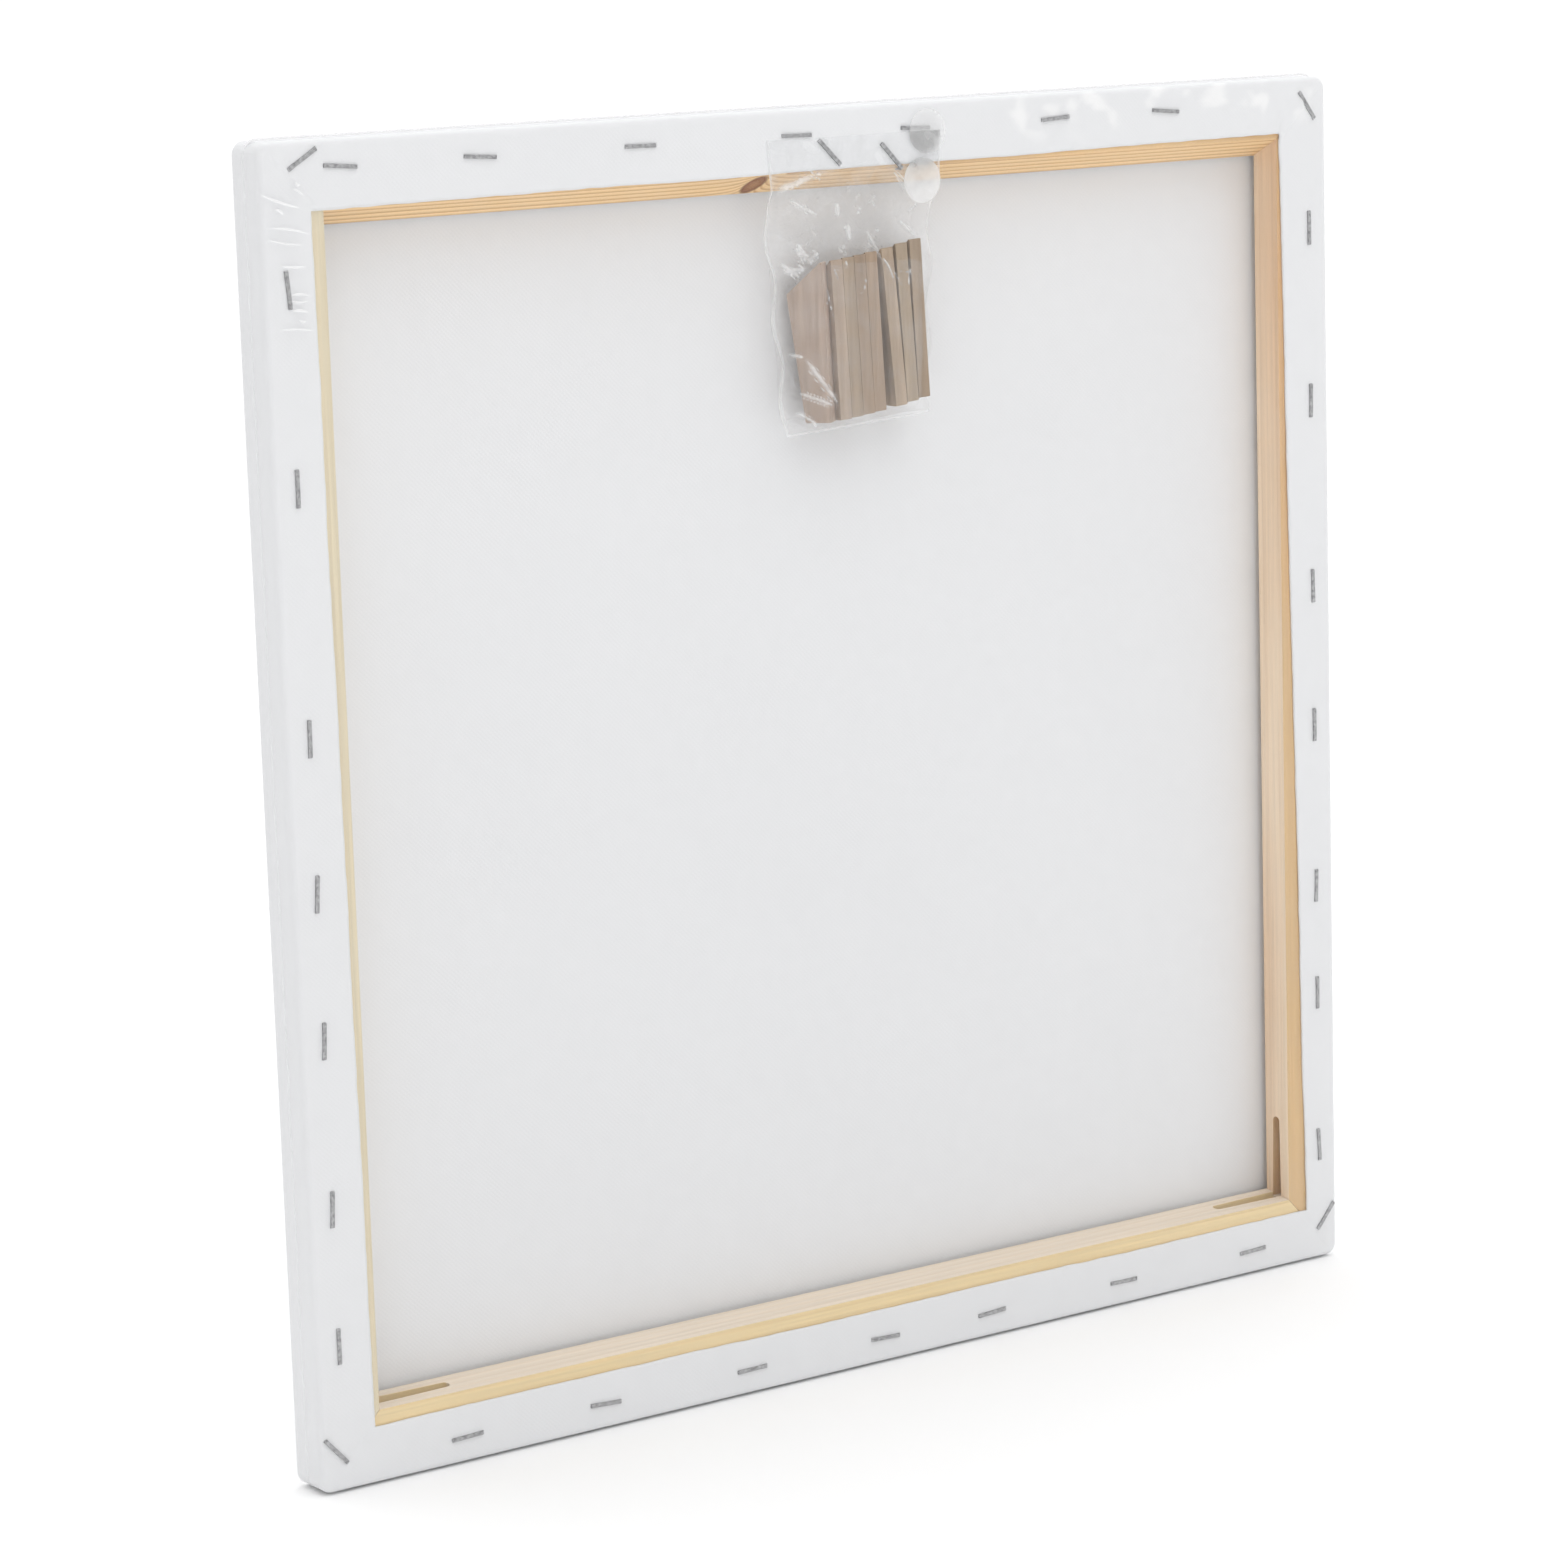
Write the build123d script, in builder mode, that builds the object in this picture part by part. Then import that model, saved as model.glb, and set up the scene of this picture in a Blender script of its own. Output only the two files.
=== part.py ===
"""A 400 mm square stretched canvas, seen standing: pine stretcher bars that key apart at two corners,
a primed canvas stapled over them, a bag of spare keys, and the clear shrink film it is sold in.

+Z is up, the painting face looks to -Y and the back to +Y. Left and right are as seen from the back,
so left is +X. The origin is the middle of the bottom edge. Millimetres.
"""

import math
import os

from build123d import *

# Canvas and film
canvas_side = 400.0
canvas_depth = 15.3
cloth = 0.6
canvas_corner_radius = 4.0
back_edge_radius = 1.2
front_edge_radius = 0.9
film = 0.1
film_air = 0.1
film_back_air = 1.0
seam_height = 0.5
seam_thickness = 0.3
seam_start_z = 3.0
film_edge_radius = 1.0
disc_radius = 7.0
disc_thickness = 0.08

# Stretcher bars
fit_gap = 0.1
bar_corner_radius = 3.3
outer_arris_radius = 2.8
inner_arris_radius = 1.6
bead_width = 4.0
bead_height = 0.9
face_slope = 1.6
back_cheek_depth = 4.5
tenon_thickness = 4.6
mortise_play = 0.15
mitre_gap = 0.1
slot_length = 28.0
slot_mouth = 4.2
slot_end = 3.2
slot_bite = 9.0

# Staples
crown_length = 11.2
wire_thickness = 0.55
wire_width = 1.2
leg_length = 4.0
leg_hole_play = 0.1
staple_inset = 8.0

# Keys and their bag
key_length = 50.0
key_heel = 12.1
key_toe = 8.5
key_shoulder = 40.0
key_thickness = 4.3
key_corner_radius = 0.4
key_clearance = 0.35
bag_film = 0.15
pocket_depth = 13.0

# Derived places
overall_depth = film + film_air + canvas_depth + film_back_air + film
front_y = -overall_depth / 2
canvas_front_y = front_y + film + film_air
canvas_back_y = canvas_front_y + canvas_depth
film_back_y = canvas_back_y + film_back_air + film
canvas_bottom_z = film + film_air
canvas_top_z = canvas_bottom_z + canvas_side
middle_z = canvas_bottom_z + canvas_side / 2
frame_half = canvas_side / 2 - cloth - fit_gap
bar_back_y = canvas_back_y - cloth - fit_gap
bar_front_y = canvas_front_y + cloth + fit_gap
tenon_back_y = canvas_back_y - back_cheek_depth
tenon_front_y = tenon_back_y - tenon_thickness
slot_y = (tenon_back_y + tenon_front_y) / 2
centre = Vector(0, 0, middle_z)
overcut = 1.0
front_clearance = 30.0

SIDES = {"top": (0, 0, 1), "bottom": (0, 0, -1), "left": (1, 0, 0), "right": (-1, 0, 0)}

# How far each bar reaches in from the edge of the canvas, at its back and at its front:
# the top bar's inner face slopes, and its tenons are as deep as its back
REACH = {"top": (19.6, 25.2), "bottom": (22.4, 24.2), "left": (21.2, 21.2), "right": (21.0, 21.0)}
SLOT_ENDS = {"top": (), "bottom": (1, -1), "left": (1, -1), "right": (-1,)}

os.makedirs("parts", exist_ok=True)


def upright(y):
    """A plane facing the front at depth y, with X across and Z up; extruding from it runs to -Y."""
    return Plane(origin=(0, y, 0), x_dir=(1, 0, 0), z_dir=(0, -1, 0))


def save(piece, label):
    """Names a finished piece and writes it to its own file."""
    piece.part.label = label
    export_step(piece.part, f"parts/{label}.step")


def bar_profile(side):
    """Section of a bar: flat back, rounded arrises, and a raised bead that lifts the canvas off the face."""
    out = Vector(*SIDES[side])
    along = out.cross(Vector(0, 1, 0))
    back_width, front_width = (reach - cloth - fit_gap for reach in REACH[side])
    plane = Plane(origin=centre + out * frame_half, x_dir=(0, 1, 0), z_dir=along)
    with BuildSketch(plane) as profile:
        with BuildLine():
            Polyline(
                (bar_back_y, 0),
                (bar_back_y, back_width),
                (bar_front_y + bead_height + face_slope, front_width),
                (bar_front_y + bead_height, bead_width + bead_height),
                (bar_front_y, bead_width),
                (bar_front_y, 0),
                close=True,
            )
        make_face()
        outer_back, inner_back = profile.vertices().group_by(Axis.X)[-1].sort_by(Axis.Y)
        fillet(outer_back, outer_arris_radius)
        fillet(inner_back, inner_arris_radius)
        fillet(profile.vertices().group_by(Axis.X)[0], front_edge_radius)
    return profile.sketch


def frame_outline(y):
    """The outside of the assembled frame, with its four rounded corners."""
    with BuildSketch(upright(y)) as outline:
        with Locations((0, middle_z)):
            RectangleRounded(2 * frame_half, 2 * frame_half, bar_corner_radius)
    return outline.sketch


def inner_corner(sx, sz):
    """Where the mitre line of a corner meets the inner faces of its two bars, on the back."""
    upright_reach = REACH["left" if sx > 0 else "right"][0]
    level_reach = REACH["top" if sz > 0 else "bottom"][0]
    return Vector(sx * (canvas_side / 2 - upright_reach), middle_z + sz * (canvas_side / 2 - level_reach))


def mitre_waste(y, upright_bar):
    """What a bar loses past each corner's mitre line; a level bar stays whole between the upright ones."""
    with BuildSketch(upright(y)) as waste:
        for sx in (1, -1):
            for sz in (1, -1):
                inner = inner_corner(sx, sz)
                outer = Vector(sx * canvas_side / 2, middle_z + sz * canvas_side / 2)
                outer = outer + (outer - inner).normalized() * overcut
                if upright_bar:
                    gap = Vector(0, -sz * mitre_gap)
                    far_x = inner.X - sx * 2 * overcut
                    corners = (outer, inner, Vector(far_x, inner.Y), Vector(far_x, outer.Y))
                else:
                    gap = Vector(-sx * mitre_gap, 0)
                    far_z = inner.Y - sz * front_clearance
                    corners = (outer, inner, Vector(inner.X, far_z), Vector(outer.X, far_z))
                with BuildLine():
                    Polyline(*(corner + gap for corner in corners), close=True)
                make_face()
    return waste.sketch


def below_tenons(y):
    """What a level bar loses beside its tenons, where it reaches further in than its back does."""
    with BuildSketch(upright(y)) as waste:
        for sx in (1, -1):
            for sz in (1, -1):
                inner = inner_corner(sx, sz)
                with Locations((inner.X - sx * mitre_gap, inner.Y)):
                    Rectangle(
                        3 * front_clearance,
                        front_clearance,
                        align=(Align.MIN if sx > 0 else Align.MAX, Align.MAX if sz > 0 else Align.MIN),
                    )
    return waste.sketch


def key_slot(corner, along, face, run_out=0.0):
    """Outline of a key slot on a bar's inner face: widest at the corner, round at its far end."""
    tip = slot_length - slot_end / 2
    with BuildSketch(Plane(origin=corner, x_dir=along, z_dir=face)) as slot:
        with BuildLine():
            Line((-run_out, slot_mouth / 2), (tip, slot_end / 2))
            ThreePointArc((tip, slot_end / 2), (slot_length, 0), (tip, -slot_end / 2))
            Line((tip, -slot_end / 2), (-run_out, -slot_mouth / 2))
            Line((-run_out, -slot_mouth / 2), (-run_out, slot_mouth / 2))
        make_face()
    return slot.sketch


# Level bars: mitred cheeks front and back, and a tenon between them at each end
for side in ("top", "bottom"):
    up = SIDES[side][2]
    with BuildPart() as level_bar:
        extrude(bar_profile(side), amount=frame_half, both=True)
        extrude(frame_outline(bar_back_y), amount=bar_back_y - bar_front_y, mode=Mode.INTERSECT)
        extrude(
            mitre_waste(bar_back_y + overcut, upright_bar=False),
            amount=bar_back_y + overcut - tenon_back_y,
            mode=Mode.SUBTRACT,
        )
        extrude(
            mitre_waste(tenon_front_y, upright_bar=False),
            amount=tenon_front_y - bar_front_y + overcut,
            mode=Mode.SUBTRACT,
        )
        extrude(
            below_tenons(tenon_back_y + overcut),
            amount=tenon_thickness + 2 * overcut,
            mode=Mode.SUBTRACT,
        )
        for sx in SLOT_ENDS[side]:
            start = (inner_corner(sx, up).X, slot_y, middle_z + up * (canvas_side / 2 - REACH[side][1]))
            slot = key_slot(start, along=(-sx, 0, 0), face=(0, 0, -up))
            extrude(slot, amount=-slot_bite, mode=Mode.SUBTRACT)
    save(level_bar, f"bar_{side}")

# Upright bars: mitred cheeks with an open mortise between them
for side in ("left", "right"):
    sx = SIDES[side][0]
    with BuildPart() as upright_bar:
        extrude(bar_profile(side), amount=frame_half, both=True)
        extrude(frame_outline(bar_back_y), amount=bar_back_y - bar_front_y, mode=Mode.INTERSECT)
        extrude(
            mitre_waste(bar_back_y + overcut, upright_bar=True),
            amount=bar_back_y - bar_front_y + 2 * overcut,
            mode=Mode.SUBTRACT,
        )
        with BuildSketch(upright(tenon_back_y + mortise_play)):
            for up in (1, -1):
                bottom = inner_corner(sx, up) - Vector(0, up * fit_gap)
                with Locations((sx * frame_half, bottom.Y)):
                    Rectangle(
                        3 * front_clearance,
                        2 * front_clearance,
                        align=(Align.CENTER, Align.MIN if up > 0 else Align.MAX),
                    )
        extrude(amount=tenon_thickness + 2 * mortise_play, mode=Mode.SUBTRACT)
        for up in SLOT_ENDS[side]:
            corner = inner_corner(sx, up)
            start = (corner.X, slot_y, corner.Y)
            slot = key_slot(start, along=(0, 0, -up), face=(-sx, 0, 0), run_out=overcut)
            extrude(slot, amount=-slot_bite, mode=Mode.SUBTRACT)
    save(upright_bar, f"bar_{side}")

# One staple, crown along X and legs down -Z, with chisel points
half_crown = crown_length / 2
with BuildPart() as staple:
    with BuildSketch(Plane.XZ) as wire:
        with BuildLine():
            Polyline(
                (-half_crown, wire_thickness),
                (half_crown, wire_thickness),
                (half_crown, -leg_length),
                (half_crown - wire_thickness, -leg_length + wire_thickness),
                (half_crown - wire_thickness, 0),
                (-half_crown + wire_thickness, 0),
                (-half_crown + wire_thickness, -leg_length + wire_thickness),
                (-half_crown, -leg_length),
                close=True,
            )
        make_face()
        fillet(wire.vertices().group_by(Axis.Y)[-1], wire_thickness * 0.8)
    extrude(amount=wire_width / 2, both=True)


def on_back(x, z, tilt, lift=0.0):
    """Where a staple sits on the back: its crown tilted from +X towards +Z, its legs into the wood."""
    level = Plane(origin=(x, canvas_back_y + lift, z), x_dir=(1, 0, 0), z_dir=(0, 1, 0))
    return level.location * Location((0, 0, 0), (0, 0, -tilt))


top_staple_z = canvas_top_z - staple_inset
bottom_staple_z = canvas_bottom_z + staple_inset
side_staple_x = canvas_side / 2 - staple_inset

# Each row by hand: place along the side, and tilt in degrees
STAPLE_ROWS = {
    "staples_top": [
        on_back(x, top_staple_z, tilt)
        for x, tilt in ((173, 5), (126, 4), (70, 1), (13, 1), (-32, 2), (-87, -3), (-132, 5))
    ],
    "staples_bottom": [
        on_back(x, bottom_staple_z, tilt)
        for x, tilt in ((149, -2), (99, 3), (44, -1), (-8, 2), (-51, -3), (-106, 1), (-162, -2))
    ],
    "staples_left": [
        on_back(side_staple_x, z, tilt)
        for z, tilt in ((358, 85), (301, 90), (228, 91), (182, 94), (138, 93), (87, 93), (45, 90))
    ],
    "staples_right": [
        on_back(-side_staple_x, z, tilt)
        for z, tilt in ((351, 90), (294, 91), (232, 89), (185, 90), (130, 92), (93, 90), (40, 87))
    ],
    "corner_staple_top_left": [on_back(185.5, 394.9, -31)],
    "corner_staple_top_right": [on_back(-191.5, 391, 54)],
    "corner_staple_bottom_left": [on_back(194.5, 13, 48)],
    "corner_staple_bottom_right": [on_back(-194.6, 14.6, -49)],
}
BAG_STAPLES = [(1, 386.4, 45), (-22.5, 384, 47)]
STAPLE_ROWS["bag_staples"] = [on_back(x, z, tilt, lift=bag_film) for x, z, tilt in BAG_STAPLES]

for row_name, places in STAPLE_ROWS.items():
    with BuildPart() as row:
        with Locations(*places):
            add(staple.part)
    save(row, row_name)

every_staple = [place for places in STAPLE_ROWS.values() for place in places]
leg_spacing = crown_length - wire_thickness
leg_hole_length = wire_thickness + 2 * leg_hole_play
leg_hole_width = wire_width + 2 * leg_hole_play

# Width of cloth turned over onto the back, at each end of the four sides
window_corners = (
    (canvas_side / 2 - 16.7, canvas_top_z - 20.2),
    (-canvas_side / 2 + 20.3, canvas_top_z - 17.9),
    (-canvas_side / 2 + 13.6, canvas_bottom_z + 17.6),
    (canvas_side / 2 - 19.2, canvas_bottom_z + 17.6),
)

# Canvas: the stretched face, its four edges, and the turnover stapled to the back
with BuildPart() as canvas:
    with BuildSketch(upright(canvas_back_y)):
        with Locations((0, middle_z)):
            RectangleRounded(canvas_side, canvas_side, canvas_corner_radius)
    extrude(amount=canvas_depth)
    fillet(canvas.edges().group_by(Axis.Y)[-1], back_edge_radius)
    fillet(canvas.edges().group_by(Axis.Y)[0], front_edge_radius)
    with BuildSketch(upright(canvas_back_y - cloth)):
        with Locations((0, middle_z)):
            inside = canvas_side - 2 * cloth
            RectangleRounded(inside, inside, canvas_corner_radius - cloth)
    extrude(amount=canvas_depth - 2 * cloth, mode=Mode.SUBTRACT)
    with BuildSketch(upright(canvas_back_y + overcut)):
        with BuildLine():
            Polyline(*window_corners, close=True)
        make_face()
    extrude(amount=cloth + 2 * overcut, mode=Mode.SUBTRACT)
    with Locations(*every_staple):
        with GridLocations(leg_spacing, 1, 2, 1):
            Box(leg_hole_length, leg_hole_width, 4 * cloth, mode=Mode.SUBTRACT)
save(canvas, "canvas")

# Key bag: a flat flap under its two staples, and a pocket that hangs in the recess below the top bar
flap_corners = ((24.5, 391.2), (-41.5, 391.2), (-38.0, 300.5), (19.0, 299.5))
pocket_width = 54.8
pocket_height = 58.4
pocket_centre = (-9.4, 331.0)
pocket_radius = 3.0
with BuildPart() as key_bag:
    with BuildSketch(upright(canvas_back_y + bag_film)):
        with BuildLine():
            Polyline(*flap_corners, close=True)
        make_face()
    extrude(amount=bag_film)
    with BuildSketch(upright(canvas_back_y)):
        with Locations(pocket_centre):
            RectangleRounded(pocket_width, pocket_height, pocket_radius)
    extrude(amount=pocket_depth)
    with BuildSketch(upright(canvas_back_y)):
        with Locations(pocket_centre):
            inner_size = (pocket_width - 2 * bag_film, pocket_height - 2 * bag_film)
            RectangleRounded(*inner_size, pocket_radius - bag_film)
    extrude(amount=pocket_depth - bag_film, mode=Mode.SUBTRACT)
    with Locations(*STAPLE_ROWS["bag_staples"]):
        with GridLocations(leg_spacing, 1, 2, 1):
            Box(leg_hole_length, leg_hole_width, 4 * bag_film, mode=Mode.SUBTRACT)
save(key_bag, "key_bag")

# One key, standing on its toe with its straight spine at Y = 0 and its tapered edge towards -Y
with BuildPart() as wedge:
    with BuildSketch(Plane(origin=(0, 0, 0), x_dir=(0, -1, 0), z_dir=(-1, 0, 0))) as outline:
        with BuildLine():
            Polyline((0, 0), (key_toe, 0), (key_heel, key_shoulder), (0, key_length), close=True)
        make_face()
        fillet(outline.vertices(), key_corner_radius)
    extrude(amount=key_thickness / 2, both=True)

# Keys stand side by side in the pocket like books that lean a little, the first one turned half flat
# Each by hand: place across, height of its toe, lean in degrees, and turn about its own length
KEY_PLACES = (
    (0.9, 303.6, 2.6, 35.0),
    (-3.1, 304.0, 2.6, 0.0),
    (-7.5, 304.5, 2.6, 0.0),
    (-11.9, 305.0, 2.6, 0.0),
    (-16.3, 305.6, 2.6, 0.0),
    (-24.5, 306.6, 5.0, 0.0),
    (-28.9, 307.6, 3.8, 0.0),
    (-33.3, 308.5, 2.6, 0.0),
)
for number, (x, z, lean, turn) in enumerate(KEY_PLACES, start=1):
    turned_spine = key_thickness / 2 * math.sin(math.radians(turn))
    y = canvas_back_y - key_clearance - turned_spine
    with BuildPart() as key:
        with Locations(Location((x, y, z), (0, lean, turn))):
            add(wedge.part)
    save(key, f"key_{number}")


def wrapped_block(shrink):
    """The film's outer block, drawn in by a distance all round: its inside is one film thickness in."""
    side = canvas_side + 2 * (film_air + film - shrink)
    with BuildPart() as block:
        with BuildSketch(upright(film_back_y - shrink)):
            with Locations((0, middle_z)):
                RectangleRounded(side, side, canvas_corner_radius + film_air + film - shrink)
        extrude(amount=film_back_y - front_y - 2 * shrink)
        fillet(block.edges().group_by(Axis.Y)[-1], film_edge_radius - shrink)
        fillet(block.edges().group_by(Axis.Y)[0], film_edge_radius - shrink)
    return block.part


# Shrink film: a sealed skin round everything, with its fused seam along the top and both sides
film_inside = wrapped_block(shrink=film)
with BuildPart() as shrink_film:
    add(wrapped_block(shrink=0))
    film_side = canvas_side + 2 * (film_air + film)
    with BuildSketch(upright(seam_thickness / 2)):
        with Locations((0, middle_z)):
            seam_side = film_side + 2 * seam_height
            RectangleRounded(seam_side, seam_side, canvas_corner_radius + seam_height)
            Rectangle(film_side - film, film_side - film, mode=Mode.SUBTRACT)
        with Locations((0, 0)):
            Rectangle(2 * film_side, 2 * seam_start_z, mode=Mode.SUBTRACT)
    extrude(amount=seam_thickness)
    add(film_inside, mode=Mode.SUBTRACT)
save(shrink_film, "shrink_film")

# Two clear round stickers inside the film, by the top right corner of the key bag
with BuildPart() as clear_discs:
    with BuildSketch(upright(film_back_y - film)):
        with Locations((-36, 391), (-33.5, 376)):
            Circle(disc_radius)
    extrude(amount=disc_thickness)
save(clear_discs, "clear_discs")
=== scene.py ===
"""The looks of a stretched canvas seen from the back: primed cloth, pine bars, keys in a bag, shrink film.

Metres, in the CAD's frame: +Z up, +Y out of the back, +X on the left when looking at the back. The tables of
folds, pleats and the bag's corners are in millimetres.
"""

import math

import bpy
import numpy as np
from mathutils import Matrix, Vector, noise


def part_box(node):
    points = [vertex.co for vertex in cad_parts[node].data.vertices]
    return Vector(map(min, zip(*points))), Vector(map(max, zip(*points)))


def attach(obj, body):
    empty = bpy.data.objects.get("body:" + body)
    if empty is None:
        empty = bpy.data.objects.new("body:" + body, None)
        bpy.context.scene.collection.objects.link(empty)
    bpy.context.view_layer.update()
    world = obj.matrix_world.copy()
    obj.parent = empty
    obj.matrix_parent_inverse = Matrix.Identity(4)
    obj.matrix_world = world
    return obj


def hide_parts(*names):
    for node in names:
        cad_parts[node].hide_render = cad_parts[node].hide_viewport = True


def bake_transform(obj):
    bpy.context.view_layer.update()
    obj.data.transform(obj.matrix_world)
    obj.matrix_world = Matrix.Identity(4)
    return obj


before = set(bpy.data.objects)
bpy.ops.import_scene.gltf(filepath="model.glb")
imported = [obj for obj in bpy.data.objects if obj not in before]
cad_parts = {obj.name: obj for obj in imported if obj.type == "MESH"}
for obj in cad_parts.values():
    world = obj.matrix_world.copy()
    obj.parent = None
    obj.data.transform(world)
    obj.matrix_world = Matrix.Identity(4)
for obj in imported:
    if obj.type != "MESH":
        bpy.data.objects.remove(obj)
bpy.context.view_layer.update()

MM = 0.001
LOWER, UPPER = "lower_left_frame", "upper_right_frame"
STAPLE_NODES = [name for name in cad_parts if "staple" in name]

canvas_low, canvas_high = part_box("canvas")
film_low, film_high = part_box("shrink_film")
half_side = (canvas_high.x - canvas_low.x) / 2
middle_z = (canvas_high.z + canvas_low.z) / 2
front_y, back_y = canvas_low.y, canvas_high.y


# ---------------------------------------------------------------- helpers

def smooth(low, high, value):
    """0 below low, 1 above high, and a smooth turn between them."""
    t = np.clip((value - low) / (high - low), 0, 1)
    return t * t * (3 - 2 * t)


def rolling(points, scale, seed):
    """Smooth noise of about -1 to 1 at an array of points, the same on every run."""
    shift = Vector((seed * 7.31, seed * 3.77, seed * 5.13))
    return np.array([noise.noise(Vector(p) / scale + shift) for p in points])


def tents(x, z, folds):
    """Height in metres of sharp folds, each (x0, z0, x1, z1, width, rise) in millimetres."""
    height = np.zeros_like(x)
    for x0, z0, x1, z1, width, rise in folds:
        along = np.array((x1 - x0, z1 - z0)) * MM
        length = np.hypot(*along)
        ax, az = along / length
        t = (x - x0 * MM) * ax + (z - z0 * MM) * az
        off = np.abs((x - x0 * MM) * -az + (z - z0 * MM) * ax)
        taper = smooth(0, 0.3 * length, t) * smooth(0, 0.3 * length, length - t)
        height += rise * MM * np.clip(1 - off / (width * MM), 0, 1) * taper
    return height


def mesh_object(name, points, faces, values=None):
    """A smooth-shaded object from an array of points; values are extra numbers kept on its vertices."""
    mesh = bpy.data.meshes.new(name)
    mesh.from_pydata([tuple(p) for p in points], [], faces)
    mesh.validate()
    for key, numbers in (values or {}).items():
        attribute = mesh.attributes.new(key, "FLOAT", "POINT")
        attribute.data.foreach_set("value", np.asarray(numbers, np.float32))
    mesh.shade_smooth()
    piece = bpy.data.objects.new(name, mesh)
    bpy.context.scene.collection.objects.link(piece)
    return piece


def ring_faces(rings, columns, first=0):
    """Quads between rings of points, each ring closed on itself; they face -Y where the rings grow."""
    faces = []
    for ring in range(rings - 1):
        low, high = first + ring * columns, first + (ring + 1) * columns
        for i in range(columns):
            j = (i + 1) % columns
            faces.append((low + i, high + i, high + j, low + j))
    return faces


def grid_faces(rows, columns, first=0):
    """Quads of a grid of points laid out row by row."""
    faces = []
    for row in range(rows - 1):
        for column in range(columns - 1):
            a = first + row * columns + column
            faces.append((a, a + 1, a + columns + 1, a + columns))
    return faces


def bake_modifiers(piece):
    """Makes what the modifiers give into the piece's own mesh."""
    graph = bpy.context.evaluated_depsgraph_get()
    made = bpy.data.meshes.new_from_object(piece.evaluated_get(graph))
    piece.modifiers.clear()
    piece.data = made


# ---------------------------------------------------------------- node helpers

def new_material(name):
    """A material, its nodes as a Tree, and its Principled shader."""
    material = bpy.data.materials.new(name)
    material.use_nodes = True
    return material, Tree(material.node_tree), material.node_tree.nodes["Principled BSDF"]


class Tree:
    """Short ways to add the nodes that the materials share."""

    def __init__(self, tree):
        self.tree = tree

    def add(self, kind, **settings):
        node = self.tree.nodes.new(kind)
        for key, value in settings.items():
            setattr(node, key, value)
        return node

    def link(self, source, socket):
        if hasattr(source, "is_output"):
            self.tree.links.new(source, socket)
        else:
            socket.default_value = source

    def maths(self, operation, a, b=0.0, clamp=False):
        node = self.add("ShaderNodeMath", operation=operation, use_clamp=clamp)
        self.link(a, node.inputs[0])
        self.link(b, node.inputs[1])
        return node.outputs[0]

    def object_place(self):
        return self.add("ShaderNodeTexCoord").outputs["Object"]

    def normal(self):
        return self.add("ShaderNodeTexCoord").outputs["Normal"]

    def parts(self, vector):
        """The x, y and z of a vector."""
        node = self.add("ShaderNodeSeparateXYZ")
        self.link(vector, node.inputs[0])
        return node.outputs

    def scaled(self, vector, scale, shift=(0, 0, 0)):
        node = self.add("ShaderNodeMapping")
        self.link(vector, node.inputs["Vector"])
        node.inputs["Scale"].default_value = scale
        node.inputs["Location"].default_value = shift
        return node.outputs[0]

    def noise(self, vector, scale, detail=3.0, rough=0.5):
        node = self.add("ShaderNodeTexNoise")
        self.link(vector, node.inputs["Vector"])
        node.inputs["Scale"].default_value = scale
        node.inputs["Detail"].default_value = detail
        node.inputs["Roughness"].default_value = rough
        return node.outputs["Fac"]

    def ramp(self, value, stops):
        """A colour ramp; each stop is its place and a grey level or an RGBA colour."""
        node = self.add("ShaderNodeValToRGB")
        self.link(value, node.inputs[0])
        elements = node.color_ramp.elements
        while len(elements) < len(stops):
            elements.new(0.5)
        for element, (place, colour) in zip(elements, stops):
            element.position = place
            element.color = colour if hasattr(colour, "__len__") else (colour, colour, colour, 1)
        return node.outputs["Color"]

    def mix(self, amount, a, b, blend="MIX"):
        node = self.add("ShaderNodeMix", data_type="RGBA", blend_type=blend)
        self.link(amount, node.inputs[0])
        self.link(a, node.inputs[6])
        self.link(b, node.inputs[7])
        return node.outputs[2]

    def bump(self, height, strength, distance):
        node = self.add("ShaderNodeBump")
        self.link(height, node.inputs["Height"])
        node.inputs["Strength"].default_value = strength
        node.inputs["Distance"].default_value = distance
        return node.outputs[0]

    def ranged(self, value, source, target):
        """A value moved from one range to another, held at both ends."""
        node = self.add("ShaderNodeMapRange")
        self.link(value, node.inputs["Value"])
        node.inputs["From Min"].default_value, node.inputs["From Max"].default_value = source
        node.inputs["To Min"].default_value, node.inputs["To Max"].default_value = target
        return node.outputs[0]

    def kept(self, name):
        """The numbers that mesh_object kept on the vertices under this name."""
        return self.add("ShaderNodeAttribute", attribute_name=name).outputs["Fac"]


# ---------------------------------------------------------------- materials

thread_pitch = 0.75 * MM

# Stops of the ramp across one growth ring: pale early wood, then a dark line of late wood
RING_STOPS = ((0.0, 0.0), (0.5, 0.12), (0.82, 0.65), (0.93, 1.0), (1.0, 0.0))

# Colours of a knot from its middle to its rim
KNOT_STOPS = ((0.0, (0.42, 0.22, 0.10, 1)), (0.55, (0.30, 0.13, 0.055, 1)),
              (0.9, (0.16, 0.06, 0.028, 1)), (1.0, (0.34, 0.16, 0.07, 1)))


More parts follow.
